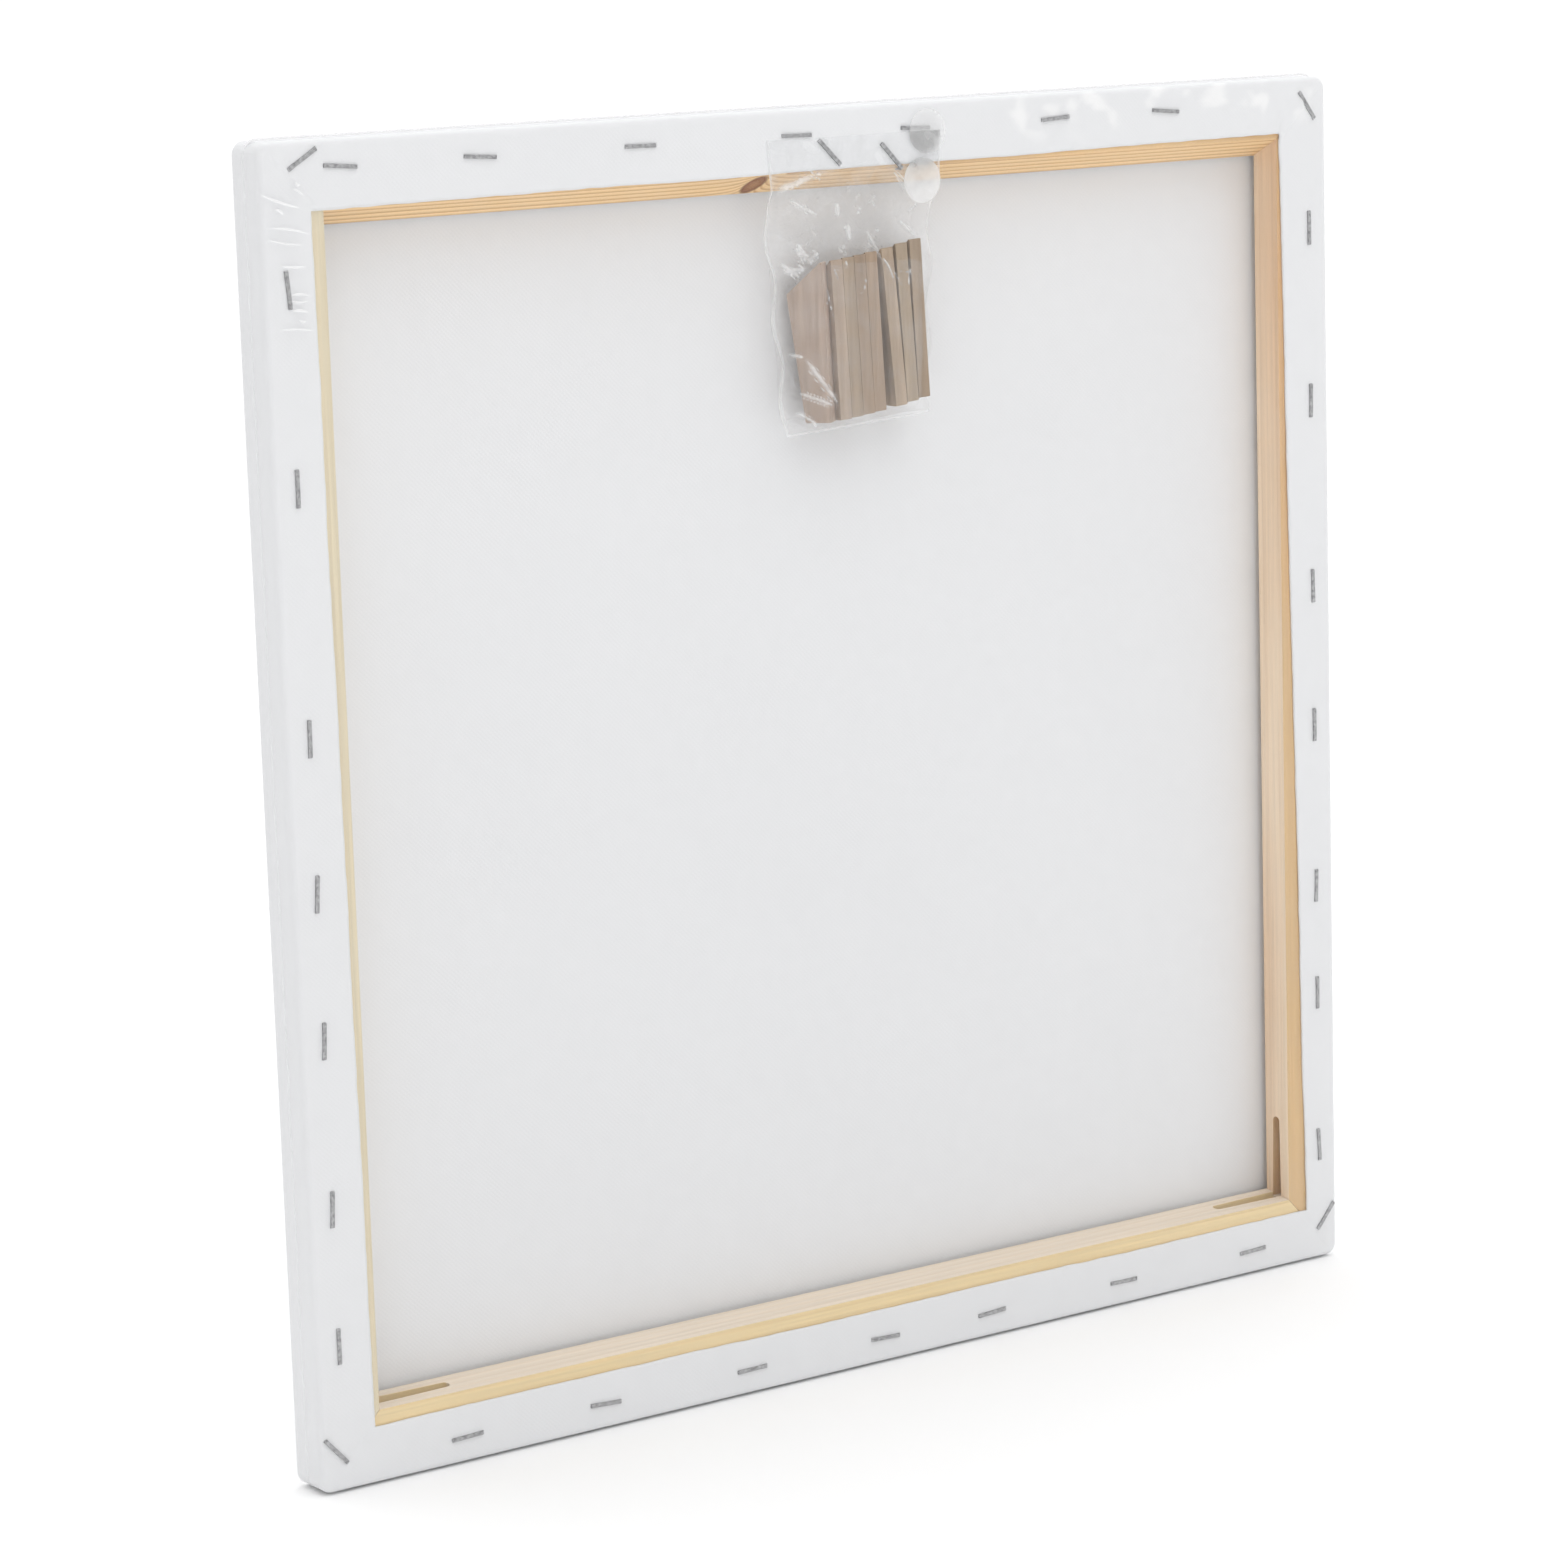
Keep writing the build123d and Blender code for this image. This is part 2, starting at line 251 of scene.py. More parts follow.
def canvas_material():
    """White primed cloth: a plain weave, a faint unevenness, and whiter patches of painted glare, where the
    film's shine is painted onto the cloth.
    """
    material, t, shader = new_material("primed_canvas")
    place = t.object_place()
    threads = [t.maths("SINE", t.maths("MULTIPLY", axis, math.pi / thread_pitch)) for axis in t.parts(place)]
    normal = t.parts(t.normal())
    weave = 0.0
    for axis, (a, b) in enumerate(((1, 2), (0, 2), (0, 1))):
        facing = t.maths("POWER", t.maths("ABSOLUTE", normal[axis]), 4.0)
        crossing = t.maths("MULTIPLY", t.maths("MULTIPLY", threads[a], threads[b]), facing)
        weave = t.maths("ADD", weave, crossing)
    slubs = t.noise(t.scaled(place, (1, 1, 14)), 90, 2)
    slubs_across = t.noise(t.scaled(place, (14, 1, 1)), 90, 2)
    height = t.maths("ADD", weave, t.maths("ADD", slubs, slubs_across))
    t.link(t.bump(height, 0.13, 0.06 * MM), shader.inputs["Normal"])
    cloudy = t.noise(place, 9, 3)
    colour = t.mix(cloudy, (0.795, 0.800, 0.812, 1), (0.825, 0.830, 0.842, 1))
    # Painted glare: the cloth's colour is lifted towards white where the film's shine would be seen.
    colour = t.mix(t.kept("painted_glare"), colour, (0.93, 0.93, 0.93, 1))
    t.link(colour, shader.inputs["Base Color"])
    shader.inputs["Roughness"].default_value = 0.8
    shader.inputs["Specular IOR Level"].default_value = 0.25
    return material


def along_grain(t, place, along, across_scale, along_scale, shift=(0, 0, 0)):
    """A place with one scale across the grain and a smaller one along it."""
    scale = [across_scale] * 3
    scale[along] = along_scale
    return t.scaled(place, scale, shift)


def knot_distance(t, xyz, knot):
    """Distance from the middle of a knot (x, z, width, height, in millimetres), which is 1 at its rim."""
    x, z, width, height = knot
    dx = t.maths("DIVIDE", t.maths("SUBTRACT", xyz[0], x * MM), width / 2 * MM)
    dz = t.maths("DIVIDE", t.maths("SUBTRACT", xyz[2], z * MM), height / 2 * MM)
    return t.maths("SQRT", t.maths("ADD", t.maths("MULTIPLY", dx, dx), t.maths("MULTIPLY", dz, dz)))


def growth_rings(t, place, xyz, along, ring, pith, from_knot):
    """Rings round a far pith, drawn out along the bar and pushed aside by a knot; 1 in the late wood."""
    waver = t.noise(along_grain(t, place, along, 60.0, 2.5, pith), 1.0, 3, 0.55)
    squares = 0.0
    for axis in range(3):
        if axis != along:
            off = t.maths("SUBTRACT", xyz[axis], pith[axis])
            squares = t.maths("ADD", squares, t.maths("MULTIPLY", off, off))
    radius = t.maths("DIVIDE", t.maths("SQRT", squares), ring * MM)
    radius = t.maths("ADD", radius, t.maths("MULTIPLY", waver, 1.6))
    if from_knot:
        swell = t.maths("DIVIDE", 2.2, t.maths("ADD", t.maths("MULTIPLY", from_knot, from_knot), 0.5))
        radius = t.maths("ADD", radius, swell)
    return t.ramp(t.maths("FRACT", radius), RING_STOPS)


def pine_material(name, along, back, inner, line, ring, strength, pith,
                  turn=(0.35, 0.75), knot=None, warm=None):
    """Planed pine, with its grain along one axis.

    back and inner colour the back and the other faces, which part where the normal's Y passes turn; the split
    is partly the wood's own tone and partly painted light, an inner colour being set lighter where light
    falls on that face;
    line colours the late wood and strength says how much; ring is in millimetres; warm colours patches.
    """
    material, t, shader = new_material(name)
    place = t.object_place()
    xyz = t.parts(place)
    from_knot = knot_distance(t, xyz, knot) if knot else None
    rings = growth_rings(t, place, xyz, along, ring, pith, from_knot)
    fibre = t.noise(along_grain(t, place, along, 900.0, 14.0), 1.0, 2, 0.6)
    # Colour by which way a face points: partly the wood's own tone, partly painted light on the faces that
    # light falls on.
    is_back = t.ramp(t.parts(t.normal())[1], ((turn[0], 0.0), (turn[1], 1.0)))
    colour = t.mix(is_back, (*inner, 1), (*back, 1))
    if warm:
        patches = t.ramp(t.noise(t.scaled(place, (1, 1, 0.25), (3, 1, 2)), 11, 2), ((0.42, 0.0), (0.6, 1.0)))
        colour = t.mix(t.maths("MULTIPLY", patches, 0.75), colour, (*warm, 1))
    lines = t.maths("MULTIPLY", rings, t.maths("ADD", 0.35, t.maths("MULTIPLY", is_back, strength - 0.35)))
    colour = t.mix(t.maths("MULTIPLY", lines, strength), colour, (*line, 1))
    streaks = t.ramp(fibre, ((0.3, 0.90), (0.7, 1.03)))
    colour = t.mix(1.0, colour, streaks, "MULTIPLY")
    if knot:
        in_knot = t.ramp(from_knot, ((0.0, 1.0), (0.75, 1.0), (1.1, 0.0)))
        colour = t.mix(in_knot, colour, t.ramp(from_knot, KNOT_STOPS))
    t.link(colour, shader.inputs["Base Color"])
    height = t.maths("SUBTRACT", t.maths("MULTIPLY", fibre, 0.6), t.maths("MULTIPLY", rings, 0.5))
    t.link(t.bump(height, 0.25, 0.12 * MM), shader.inputs["Normal"])
    t.link(t.ramp(fibre, ((0.2, 0.5), (0.8, 0.68))), shader.inputs["Roughness"])
    shader.inputs["Specular IOR Level"].default_value = 0.35
    return material


def key_material(name, tone, seed):
    """Rough sawn wood, darker than the bars, with its grain up the key."""
    material, t, shader = new_material(name)
    place = t.object_place()
    grain = t.noise(t.scaled(place, (420, 420, 22), (seed, seed * 2, 0)), 1.0, 4, 0.6)
    broad = t.noise(t.scaled(place, (70, 70, 12), (seed * 3, 0, seed)), 1.0, 2)
    dark = tuple(0.80 * c for c in tone)
    pale = tuple(1.12 * c for c in tone)
    colour = t.mix(t.ramp(grain, ((0.3, 0.0), (0.7, 1.0))), (*dark, 1), (*pale, 1))
    colour = t.mix(1.0, colour, t.ramp(broad, ((0.3, 0.88), (0.7, 1.08))), "MULTIPLY")
    t.link(colour, shader.inputs["Base Color"])
    t.link(t.bump(grain, 0.5, 0.15 * MM), shader.inputs["Normal"])
    t.link(t.ramp(grain, ((0.2, 0.75), (0.8, 0.9))), shader.inputs["Roughness"])
    shader.inputs["Specular IOR Level"].default_value = 0.2
    return material


def steel_material():
    """Steel wire, dulled in patches."""
    material, t, shader = new_material("staple_steel")
    place = t.object_place()
    dull = t.noise(place, 900, 3)
    colour = t.mix(t.ramp(dull, ((0.35, 0.0), (0.65, 1.0))), (0.26, 0.26, 0.265, 1), (0.52, 0.52, 0.53, 1))
    t.link(colour, shader.inputs["Base Color"])
    t.link(t.ramp(dull, ((0.3, 0.32), (0.7, 0.5))), shader.inputs["Roughness"])
    t.link(t.bump(t.noise(place, 2500, 2), 0.15, 0.03 * MM), shader.inputs["Normal"])
    shader.inputs["Metallic"].default_value = 1.0
    return material


def clear_material(name, tint, veil, haze_and_highlight_gain, rough, speckle, wrinkle=0.1):
    """Clear plastic under a cloudy veil, made milky white by a number kept on its vertices: real haze at the
    film's fin and the bag's rim, and painted highlights on pleats, creases and bends.
    """
    material, t, shader = new_material(name)
    cloud = t.noise(t.object_place(), speckle, 4, 0.6)
    # One attribute holds both the real haze and the painted highlights of pleats and creases.
    haze_and_highlight_amount = t.maths("MULTIPLY", t.kept("haze_and_highlight"), haze_and_highlight_gain)
    veiled = t.maths("MULTIPLY", t.ramp(cloud, ((0.4, 0.6), (0.7, 1.4))), veil)
    amount = t.maths("ADD", haze_and_highlight_amount, veiled, clamp=True)
    t.link(amount, shader.inputs["Alpha"])
    t.link(t.mix(cloud, tuple(0.97 * c for c in tint) + (1,), (*tint, 1)), shader.inputs["Base Color"])
    t.link(t.bump(cloud, wrinkle, 0.1 * MM), shader.inputs["Normal"])
    t.link(t.ramp(cloud, ((0.3, rough), (0.7, rough + 0.08))), shader.inputs["Roughness"])
    shader.inputs["IOR"].default_value = 1.5
    return material


# ---------------------------------------------------------------- rings of points round the canvas

# How far from a corner's middle the fine and the middle spacing of the points reach, in millimetres
CORNER_FINE, CORNER_COARSE = 4.0, 28.0

# Spacing of the points: the fine one, the middle one and that of the rest of a side, in millimetres
CLOTH_SPACING, FILM_SPACING = (0.4, 0.8, 2.4), (0.7, 2.0, 5.0)


def side_shares(length, fine, middle, coarse):
    """Shares of a side from one corner's middle to the next: close together near the corners."""
    distances = [0.0]
    while distances[-1] < length / 2:
        gone = distances[-1] / MM
        step = fine if gone < CORNER_FINE else middle if gone < CORNER_COARSE else coarse
        distances.append(distances[-1] + step * MM)
    half = np.array(distances[:-1]) / distances[-1] / 2
    return np.concatenate([half, [0.5], 1 - half[:0:-1]])


def rounded_ring(half, radius, shares):
    """(x, z) round a rounded square, from the +X +Z corner's middle by the top to -X, and on round."""
    arc = math.pi / 4 * radius
    total = 2 * (half - radius) + 2 * arc
    near = np.minimum(shares, 1 - shares) * total
    turn = math.pi / 4 + np.minimum(near, arc) / max(radius, 1e-9)
    x = np.where(near < arc, half - radius + radius * np.cos(turn), half - radius - (near - arc))
    z = np.where(near < arc, half - radius + radius * np.sin(turn), half)
    x = np.where(shares > 0.5, -x, x)
    sides = [(x, z), (-z, x), (-x, -z), (z, -x)]
    return np.concatenate([np.stack(side, 1) for side in sides])


def quad_ring(corners, shares):
    """(x, z) round a quadrilateral, corner by corner in the same order as rounded_ring."""
    sides = []
    for k in range(4):
        a, b = np.array(corners[k]), np.array(corners[(k + 1) % 4])
        sides.append(a + shares[:, None] * (b - a))
    return np.concatenate(sides)


def at_depth(flat, y):
    """Lifts (x, z) round the middle of the canvas to points at depth y."""
    return np.column_stack([flat[:, 0], np.full(len(flat), y), flat[:, 1] + middle_z])


# ---------------------------------------------------------------- staples, as the CAD has them

SNAP = 0.001 * MM


def staple_places():
    """Middle, direction and half length of every staple's crown, as (x, z).

    A node holds several staples, so its vertices are first sorted into joined groups.
    """
    places = []
    for name in STAPLE_NODES:
        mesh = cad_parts[name].data
        points = np.array([v.co for v in mesh.vertices])
        spots, index = np.unique(np.round(points / SNAP).astype(int), axis=0, return_inverse=True)
        index = index.ravel()
        label = np.arange(len(spots))
        edges = index[np.array([tuple(e.vertices) for e in mesh.edges])]
        for _ in range(40):
            least = np.minimum(label[edges[:, 0]], label[edges[:, 1]])
            np.minimum.at(label, edges[:, 0], least)
            np.minimum.at(label, edges[:, 1], least)
        for one in np.unique(label):
            crown = spots[label == one] * SNAP
            crown = crown[crown[:, 1] > back_y][:, [0, 2]]
            middle = (crown.max(0) + crown.min(0)) / 2
            _, _, axes = np.linalg.svd(crown - crown.mean(0))
            places.append((middle, axes[0], np.abs((crown - middle) @ axes[0]).max()))
    return places


STAPLES = staple_places()


# ---------------------------------------------------------------- canvas

cloth = 0.6 * MM
corner_radius = 4.0 * MM
back_roll = 2.0 * MM
front_roll = 0.9 * MM

# Each staple leg presses a dimple into the cloth, with a low swelling round it
dimple_depth, dimple_radius = 0.12 * MM, 1.2 * MM
swelling, swelling_radius, swelling_width = 0.04 * MM, 4 * MM, 1.6 * MM
leg_inset = 0.3 * MM

# Corners of the window in the turned-over cloth, (x, z) from its middle: top left, top right, and on round
WINDOW = (
    (half_side - 16.7 * MM, half_side - 20.2 * MM),
    (-half_side + 20.3 * MM, half_side - 17.9 * MM),
    (-half_side + 13.6 * MM, -half_side + 17.6 * MM),
    (half_side - 19.2 * MM, -half_side + 17.6 * MM),
)

# Small sharp folds where the cloth is gathered at the corners: a line, its width and its rise
CORNER_FOLDS = (
    (-199, 399, -187, 391, 1.8, 0.30),
    (-188, 399.5, -190, 386, 1.4, 0.20),
    (-198, 392, -189, 384, 1.6, 0.18),
    (-179, 397, -181, 386, 2.2, 0.16),
    (-180.5, 388, -179.8, 381, 1.0, -0.35),
    (197, 398, 186, 387, 2.0, 0.12),
    (196, 9, 184, 19, 2.2, 0.16),
    (-197, 4, -189, 12, 1.8, 0.08),
)

# How far the top and bottom turnovers lie over the side ones at each corner, in millimetres
CORNER_STEPS = {(1, 1): 0.10, (-1, 1): 0.26, (-1, -1): 0.04, (1, -1): 0.12}


def turnover_height(x, z):
    """How far the turned-over cloth stands off its plane: staples press it in, corners fold it over."""
    height = np.zeros_like(x)
    for middle, direction, half in STAPLES:
        for end in (-1, 1):
            leg = middle + end * (half - leg_inset) * direction
            away = np.hypot(x - leg[0], z - leg[1])
            height -= dimple_depth * np.exp(-(away / dimple_radius) ** 2)
            height += swelling * np.exp(-((away - swelling_radius) / swelling_width) ** 2)
    for (sx, sz), rise in CORNER_STEPS.items():
        from_side = half_side - sx * x
        from_level = half_side - sz * (z - middle_z)
        over = (from_side - from_level) / math.sqrt(2)
        inward = (from_side + from_level) / math.sqrt(2)
        step = smooth(-0.35 * MM, 0.35 * MM, over) * np.exp(-np.clip(over, 0, None) / (9 * MM))
        near = smooth(2 * MM, 7 * MM, inward) * (1 - smooth(60 * MM, 80 * MM, inward))
        height += rise * MM * step * near * (over > -20 * MM)
    return height + tents(x, z, CORNER_FOLDS)


def ragged(edge):
    """A cut edge round the middle, moved a little in and out: fine threads and a slower wander."""
    out = edge / np.abs(edge).max(1, keepdims=True)
    places = np.column_stack([edge, edge[:, 0] * 0])
    shift = 0.22 * MM * rolling(places, 5 * MM, 3)
    shift += 0.35 * MM * rolling(places, 45 * MM, 4)
    return edge + out * shift[:, None]


def canvas_rings(shares):
    """Rings of the outside of the cloth, from the middle of the face round to its cut edge on the back."""
    rings = []
    straight, rounding = half_side - front_roll, corner_radius - front_roll
    for share in np.linspace(0.04, 1, 30) ** 0.9:
        rings.append(at_depth(rounded_ring(share * straight, share * rounding, shares), front_y))
    for turn in np.linspace(0, math.pi / 2, 7)[1:]:
        inset = front_roll * (1 - math.sin(turn))
        ring = rounded_ring(half_side - inset, corner_radius - inset, shares)
        rings.append(at_depth(ring, front_y + front_roll * (1 - math.cos(turn))))
    for share in np.linspace(0, 1, 10)[1:]:
        y = front_y + front_roll + share * (back_y - back_roll - front_y - front_roll)
        rings.append(at_depth(rounded_ring(half_side, corner_radius, shares), y))
    for turn in np.linspace(0, math.pi / 2, 9)[1:]:
        inset = back_roll * (1 - math.cos(turn))
        ring = rounded_ring(half_side - inset, corner_radius - inset, shares)
        rings.append(at_depth(ring, back_y - back_roll * (1 - math.sin(turn))))
    outer = rounded_ring(half_side - back_roll, corner_radius - back_roll, shares)
    inner = ragged(quad_ring(WINDOW, shares))
    for share in np.linspace(0, 1, 19)[1:]:
        rings.append(at_depth(outer + share * (inner - outer), back_y))
    return rings


def painted_glare_patches(points):
    """Painted glare: how much the cloth is whitened where the film's shine is painted onto it, on the right
    part of the top turnover.
    """
    x, y, z = points.T
    cloud = rolling(points, 9 * MM, 12) + 0.5 * rolling(points, 4 * MM, 13)
    top_strip = smooth(383 * MM, 392 * MM, z) * smooth(-60 * MM, -75 * MM, x)
    on_back = smooth(back_y - 1.5 * MM, back_y - 0.5 * MM, y)
    return 0.8 * smooth(0.12, 0.5, cloud) * top_strip * on_back


def make_canvas():
    """One sheet of cloth from cut edge to cut edge, thickened inward from its outside."""
    shares = side_shares(2 * half_side, *CLOTH_SPACING)[:-1]
    rings = canvas_rings(shares)
    columns = len(rings[0])
    points = np.concatenate(rings)
    strip = smooth(back_y - back_roll, back_y - 0.1 * MM, points[:, 1])
    waves = rolling(points, 24 * MM, 1) * 0.10 * MM + rolling(points, 9 * MM, 2) * 0.035 * MM
    points[:, 1] += strip * (turnover_height(points[:, 0], points[:, 2]) + waves)
    side = smooth(front_y + front_roll, front_y + 4 * MM, points[:, 1]) * (1 - strip)
    swell = 0.10 * MM * rolling(points, 30 * MM, 6) * side
    outward = np.column_stack([points[:, 0], np.zeros(len(points)), points[:, 2] - middle_z])
    edge = np.abs(outward).max(1, keepdims=True)
    outward = np.where(np.abs(outward) > edge - 4 * MM, np.sign(outward), 0)
    points += outward * (swell - 0.05 * MM * side)[:, None]
    points = np.vstack([points, (0, front_y, middle_z)])
    faces = ring_faces(len(rings), columns)
    centre = len(points) - 1
    faces += [(centre, i, (i + 1) % columns) for i in range(columns)]
    piece = mesh_object("primed_canvas", points, faces, {"painted_glare": painted_glare_patches(points)})
    solid = piece.modifiers.new("thickness", "SOLIDIFY")
    solid.thickness = cloth
    solid.offset = -1
    solid.use_even_offset = True
    bake_modifiers(piece)
    piece.data.materials.append(canvas_material())
    return piece


# ---------------------------------------------------------------- shrink film

film_gap = 0.25 * MM
film_radius = 1.4 * MM
fin_height = 0.7 * MM
seam_y = 0.0

pleat_half_width, pleat_bend, pleat_height = 0.42 * MM, 0.35 * MM, 0.3 * MM
PLEAT_STEPS = 14

# Pleats in the film, gathered beside the top left corner: each a line from end to end
PLEATS = (
    (200.0, 385.7, 187.6, 381.2), (197.1, 376.1, 184.4, 373.6), (198.3, 372.8, 187.2, 370.7),
    (195.5, 381.2, 193.0, 379.6), (194.4, 365.2, 186.5, 364.5), (189.6, 386.8, 186.1, 384.6),
    (188.5, 388.7, 187.0, 387.5), (191.3, 356.7, 185.7, 356.1), (191.7, 355.0, 186.1, 354.6),
    (191.2, 352.1, 186.3, 351.4), (189.4, 349.4, 187.1, 348.9), (195.4, 346.9, 184.9, 346.1),
)


def film_half(shares, face_y):
    """Rings of one half of the film, from the tip of its fin at the seam to the middle of its face."""
    toward = math.copysign(1, face_y - seam_y)
    half = half_side + film_gap
    radius = corner_radius + film_gap
    rings = []
    apart = toward * 0.06 * MM
    for rise in (fin_height, fin_height / 2, 0.0):
        rings.append(at_depth(rounded_ring(half + rise, radius + rise, shares), seam_y + apart))
    for share in np.linspace(0, 1, 5)[1:]:
        y = seam_y + toward * (0.3 * MM + share * (abs(face_y - seam_y) - film_radius - 0.3 * MM))
        rings.append(at_depth(rounded_ring(half, radius, shares), y))
    for turn in np.linspace(0, math.pi / 2, 7)[1:]:
        inset = film_radius * (1 - math.cos(turn))
        ring = rounded_ring(half - inset, radius - inset, shares)
        rings.append(at_depth(ring, face_y - toward * film_radius * (1 - math.sin(turn))))
    straight = half - film_radius
    for share in (1 - np.linspace(0, 0.97, 46)[1:]):
        rings.append(at_depth(rounded_ring(share * straight, share * (radius - film_radius), shares), face_y))
    return rings


def film_ripples(points):
    """The film is tight over the middle and ripples a little where it was gathered, near the corners."""
    x, z = points[:, 0], points[:, 2] - middle_z
    height = np.zeros(len(points))
    for sx, sz, amount in ((1, 1, 0.20), (-1, 1, 0.30), (-1, -1, 0.15), (1, -1, 0.12)):
        dx, dz = half_side - sx * x, half_side - sz * z
        away = np.hypot(dx, dz)
        fan = np.sin(np.arctan2(dz, dx) * 17 + away / (14 * MM))
        height += amount * MM * fan * smooth(2 * MM, 14 * MM, away) * np.exp(-away / (34 * MM))
    return height + 0.05 * MM * rolling(points, 18 * MM, 9)


def film_part(shares, face_y, first):
    """One half of the film as points, faces and haze, which is on its fin; first points come before it."""
    rings = film_half(shares, face_y)
    columns = len(rings[0])
    part = np.vstack([np.concatenate(rings), (0, face_y, middle_z)])
    on_face = smooth(0, 1, 1 - np.abs(part[:, 1] - face_y) / (0.6 * MM))
    part[:, 1] += math.copysign(1, face_y) * on_face * np.abs(film_ripples(part)) * 0.6
    quads = ring_faces(len(rings), columns, first)
    centre = first + len(part) - 1
    last = first + (len(rings) - 1) * columns
    quads += [(last + (i + 1) % columns, last + i, centre) for i in range(columns)]
    if face_y < seam_y:
        quads = [tuple(reversed(q)) for q in quads]
    fin = np.zeros(len(part))
    fin[:3 * columns] = 0.03 + 0.4 * smooth(399 * MM, 400 * MM, part[:3 * columns, 2])
    return part, quads, fin


def make_film():
    """Two halves of thin clear film with a fin between them, pressed flat at the bottom, and small pleats."""
    shares = side_shares(2 * half_side, *FILM_SPACING)[:-1]
    points, faces, haze_and_highlight = [], [], []
    for face_y in (film_high.y, film_low.y):
        part, quads, fin = film_part(shares, face_y, sum(len(p) for p in points))
        points.append(part)
        faces += quads
        haze_and_highlight.append(fin)
    part, quads = pleat_ridges(sum(len(p) for p in points))
    points.append(part)
    faces += quads
    # The pleat ridges are real doubled film; their near-opaque white is a painted highlight.
    haze_and_highlight.append(np.full(len(part), 0.85))
    points, haze_and_highlight = np.concatenate(points), np.concatenate(haze_and_highlight)
    bottom = points[:, 2] < film_low.z + 0.9 * MM
    points[bottom, 2] = np.maximum(points[bottom, 2], film_low.z)
    piece = mesh_object("shrink_wrap", points, faces, {"haze_and_highlight": haze_and_highlight})
    piece.data.materials.append(clear_material("shrink_film", (0.97, 0.97, 0.98), 0.045, 1.0, 0.12, 60))
    return piece


def pleat_ridges(first):
    """Each pleat is a low ridge of doubled film, pointed at both ends."""
    points, faces = [], []
    top_y = film_high.y + 0.05 * MM
    for number, (x0, z0, x1, z1) in enumerate(PLEATS):
        start, end = np.array((x0, z0)) * MM, np.array((x1, z1)) * MM
        along = (end - start) / np.hypot(*(end - start))
        across = np.array((-along[1], along[0]))
        for step in range(PLEAT_STEPS + 1):
            t = step / PLEAT_STEPS
            narrower = 1 - 0.35 * (number % 3) / 2
            width = pleat_half_width * math.sin(math.pi * t) ** 0.6 * narrower + 0.01 * MM
            bend = pleat_bend * math.sin(math.pi * t) * (-1) ** number
            middle = start + t * (end - start) + bend * across
            for side, lift in ((-1, 0.0), (0, pleat_height), (1, 0.0)):
                x, z = middle + side * width * across
                points.append((x, top_y + lift * math.sin(math.pi * t), z))
        base = first + len(points) - 3 * (PLEAT_STEPS + 1)
        for step in range(PLEAT_STEPS):
            for side in range(2):
                a = base + step * 3 + side
                faces.append((a, a + 1, a + 4, a + 3))
    return np.array(points), faces


# ---------------------------------------------------------------- key bag

# Corners of the lay-flat bag, (x, z): top left, top right, bottom left, bottom right
BAG_CORNERS = ((24.5, 391.2), (-41.5, 391.2), (17.6, 299.8), (-37.0, 303.6))

# Heights between which the bag drops into the recess, fills over the keys, and closes at its bottom
INTO_RECESS, OVER_KEYS, AT_BOTTOM = (370, 377), (357, 350), (305, 300.2)

# How far the bag lies sunk in the recess: its side edges, its front, its back, and its back once more
# behind the keys
edge_sunk, front_sunk, back_sunk, keys_sunk = 4.5 * MM, 3.2 * MM, 3.5 * MM, 9.3 * MM

# Count and seed of the small creases drawn for each sheet
FRONT_CREASES, BACK_CREASES = (70, 5), (40, 8)

# Points across and down each sheet, and about how far apart they are
BAG_COLUMNS, BAG_ROWS = 121, 171
bag_spacing = 0.55 * MM

# Creases seen in the bag's front: a line, its width and its rise; they also place painted highlights along
# them
BAG_FOLDS = (
    (24.5, 375.7, 0.8, 381.1, 1.5, 0.9),
    (23.5, 374.0, 9.0, 379.6, 0.9, 0.5),
    (17.5, 374.0, 2.3, 366.6, 0.8, 0.5),
    (-3.0, 371.5, -3.8, 366.0, 1.1, 0.9),
    (-7.0, 365.0, -7.8, 358.0, 0.9, 0.8),
    (12.6, 359.8, 8.9, 353.5, 1.0, 1.0),
    (10.5, 353.0, 3.5, 356.5, 1.2, 1.0),
    (20.0, 354.5, 13.0, 348.5, 1.1, 0.9),
    (20.0, 350.6, 10.0, 352.0, 1.0, 0.9),
    (-13.1, 364.5, -23.3, 343.5, 0.8, 0.6),
    (-16.0, 359.0, -12.0, 352.0, 0.8, 0.4),
    (18.5, 325.8, 12.5, 324.6, 1.0, 0.8),
    (14.0, 326.0, -0.8, 307.6, 1.3, 1.0),
    (18.4, 326.0, 15.8, 313.0, 1.1, 0.8),
    (16.6, 314.5, 0.5, 308.2, 1.0, 0.9),
    (17.0, 309.0, 4.6, 300.8, 0.9, 0.7),
    (-24.0, 366.0, -36.0, 356.5, 1.0, 0.4),
    (4.0, 347.0, 1.0, 334.0, 0.7, 0.35),
)


def random_folds(count, seed):
    """Many small creases over the loose upper part of the bag, the same on every run; see tents."""
    draw = np.random.default_rng(seed)
    folds = []
    for _ in range(count):
        x, z = draw.uniform(-42, 20), draw.uniform(340, 378)
        turn, length = draw.uniform(0, math.pi), draw.uniform(4, 13)
        dx, dz = math.cos(turn) * length, math.sin(turn) * length
        folds.append((x, z, x + dx, z + dz, draw.uniform(0.8, 2.2), draw.uniform(-0.7, 0.7)))
    return folds


